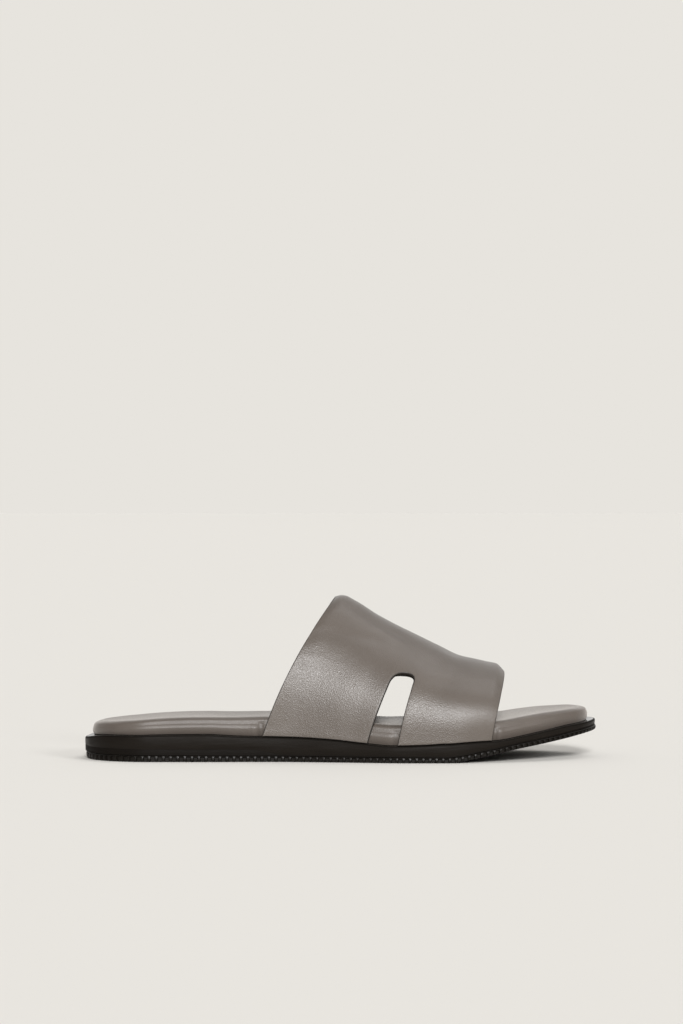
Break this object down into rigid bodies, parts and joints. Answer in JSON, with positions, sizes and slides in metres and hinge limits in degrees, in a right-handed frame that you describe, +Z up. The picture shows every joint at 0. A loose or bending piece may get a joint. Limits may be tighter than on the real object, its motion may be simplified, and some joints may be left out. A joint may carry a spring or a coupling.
{
  "type": "slide sandal",
  "caption": "Right slide sandal: one-piece grey leather strap slotted on both sides, padded leather footbed and black rubber sole with a ribbed edge.",
  "frame": {"origin": "on the floor, under the middle of the sandal's box", "axes": "+X from heel to toe, +Y from the outer side to the inner side, +Z up"},
  "size_m": [0.285, 0.1023, 0.0901],
  "materials": {
    "strap_leather": "taupe-grey fine-grained leather, semi-matte, painted cut edges",
    "footbed_leather": "taupe-grey soft leather over padding, semi-matte",
    "sole_rubber": "black, satin",
    "tread_rubber": "black, satin, ribbed edge"
  },
  "bodies": {
    "root": {"upper": "strap_leather", "footbed": "footbed_leather", "midsole": "sole_rubber", "heel_lift": "sole_rubber", "outsole": "tread_rubber"}
  },
  "joints": []
}
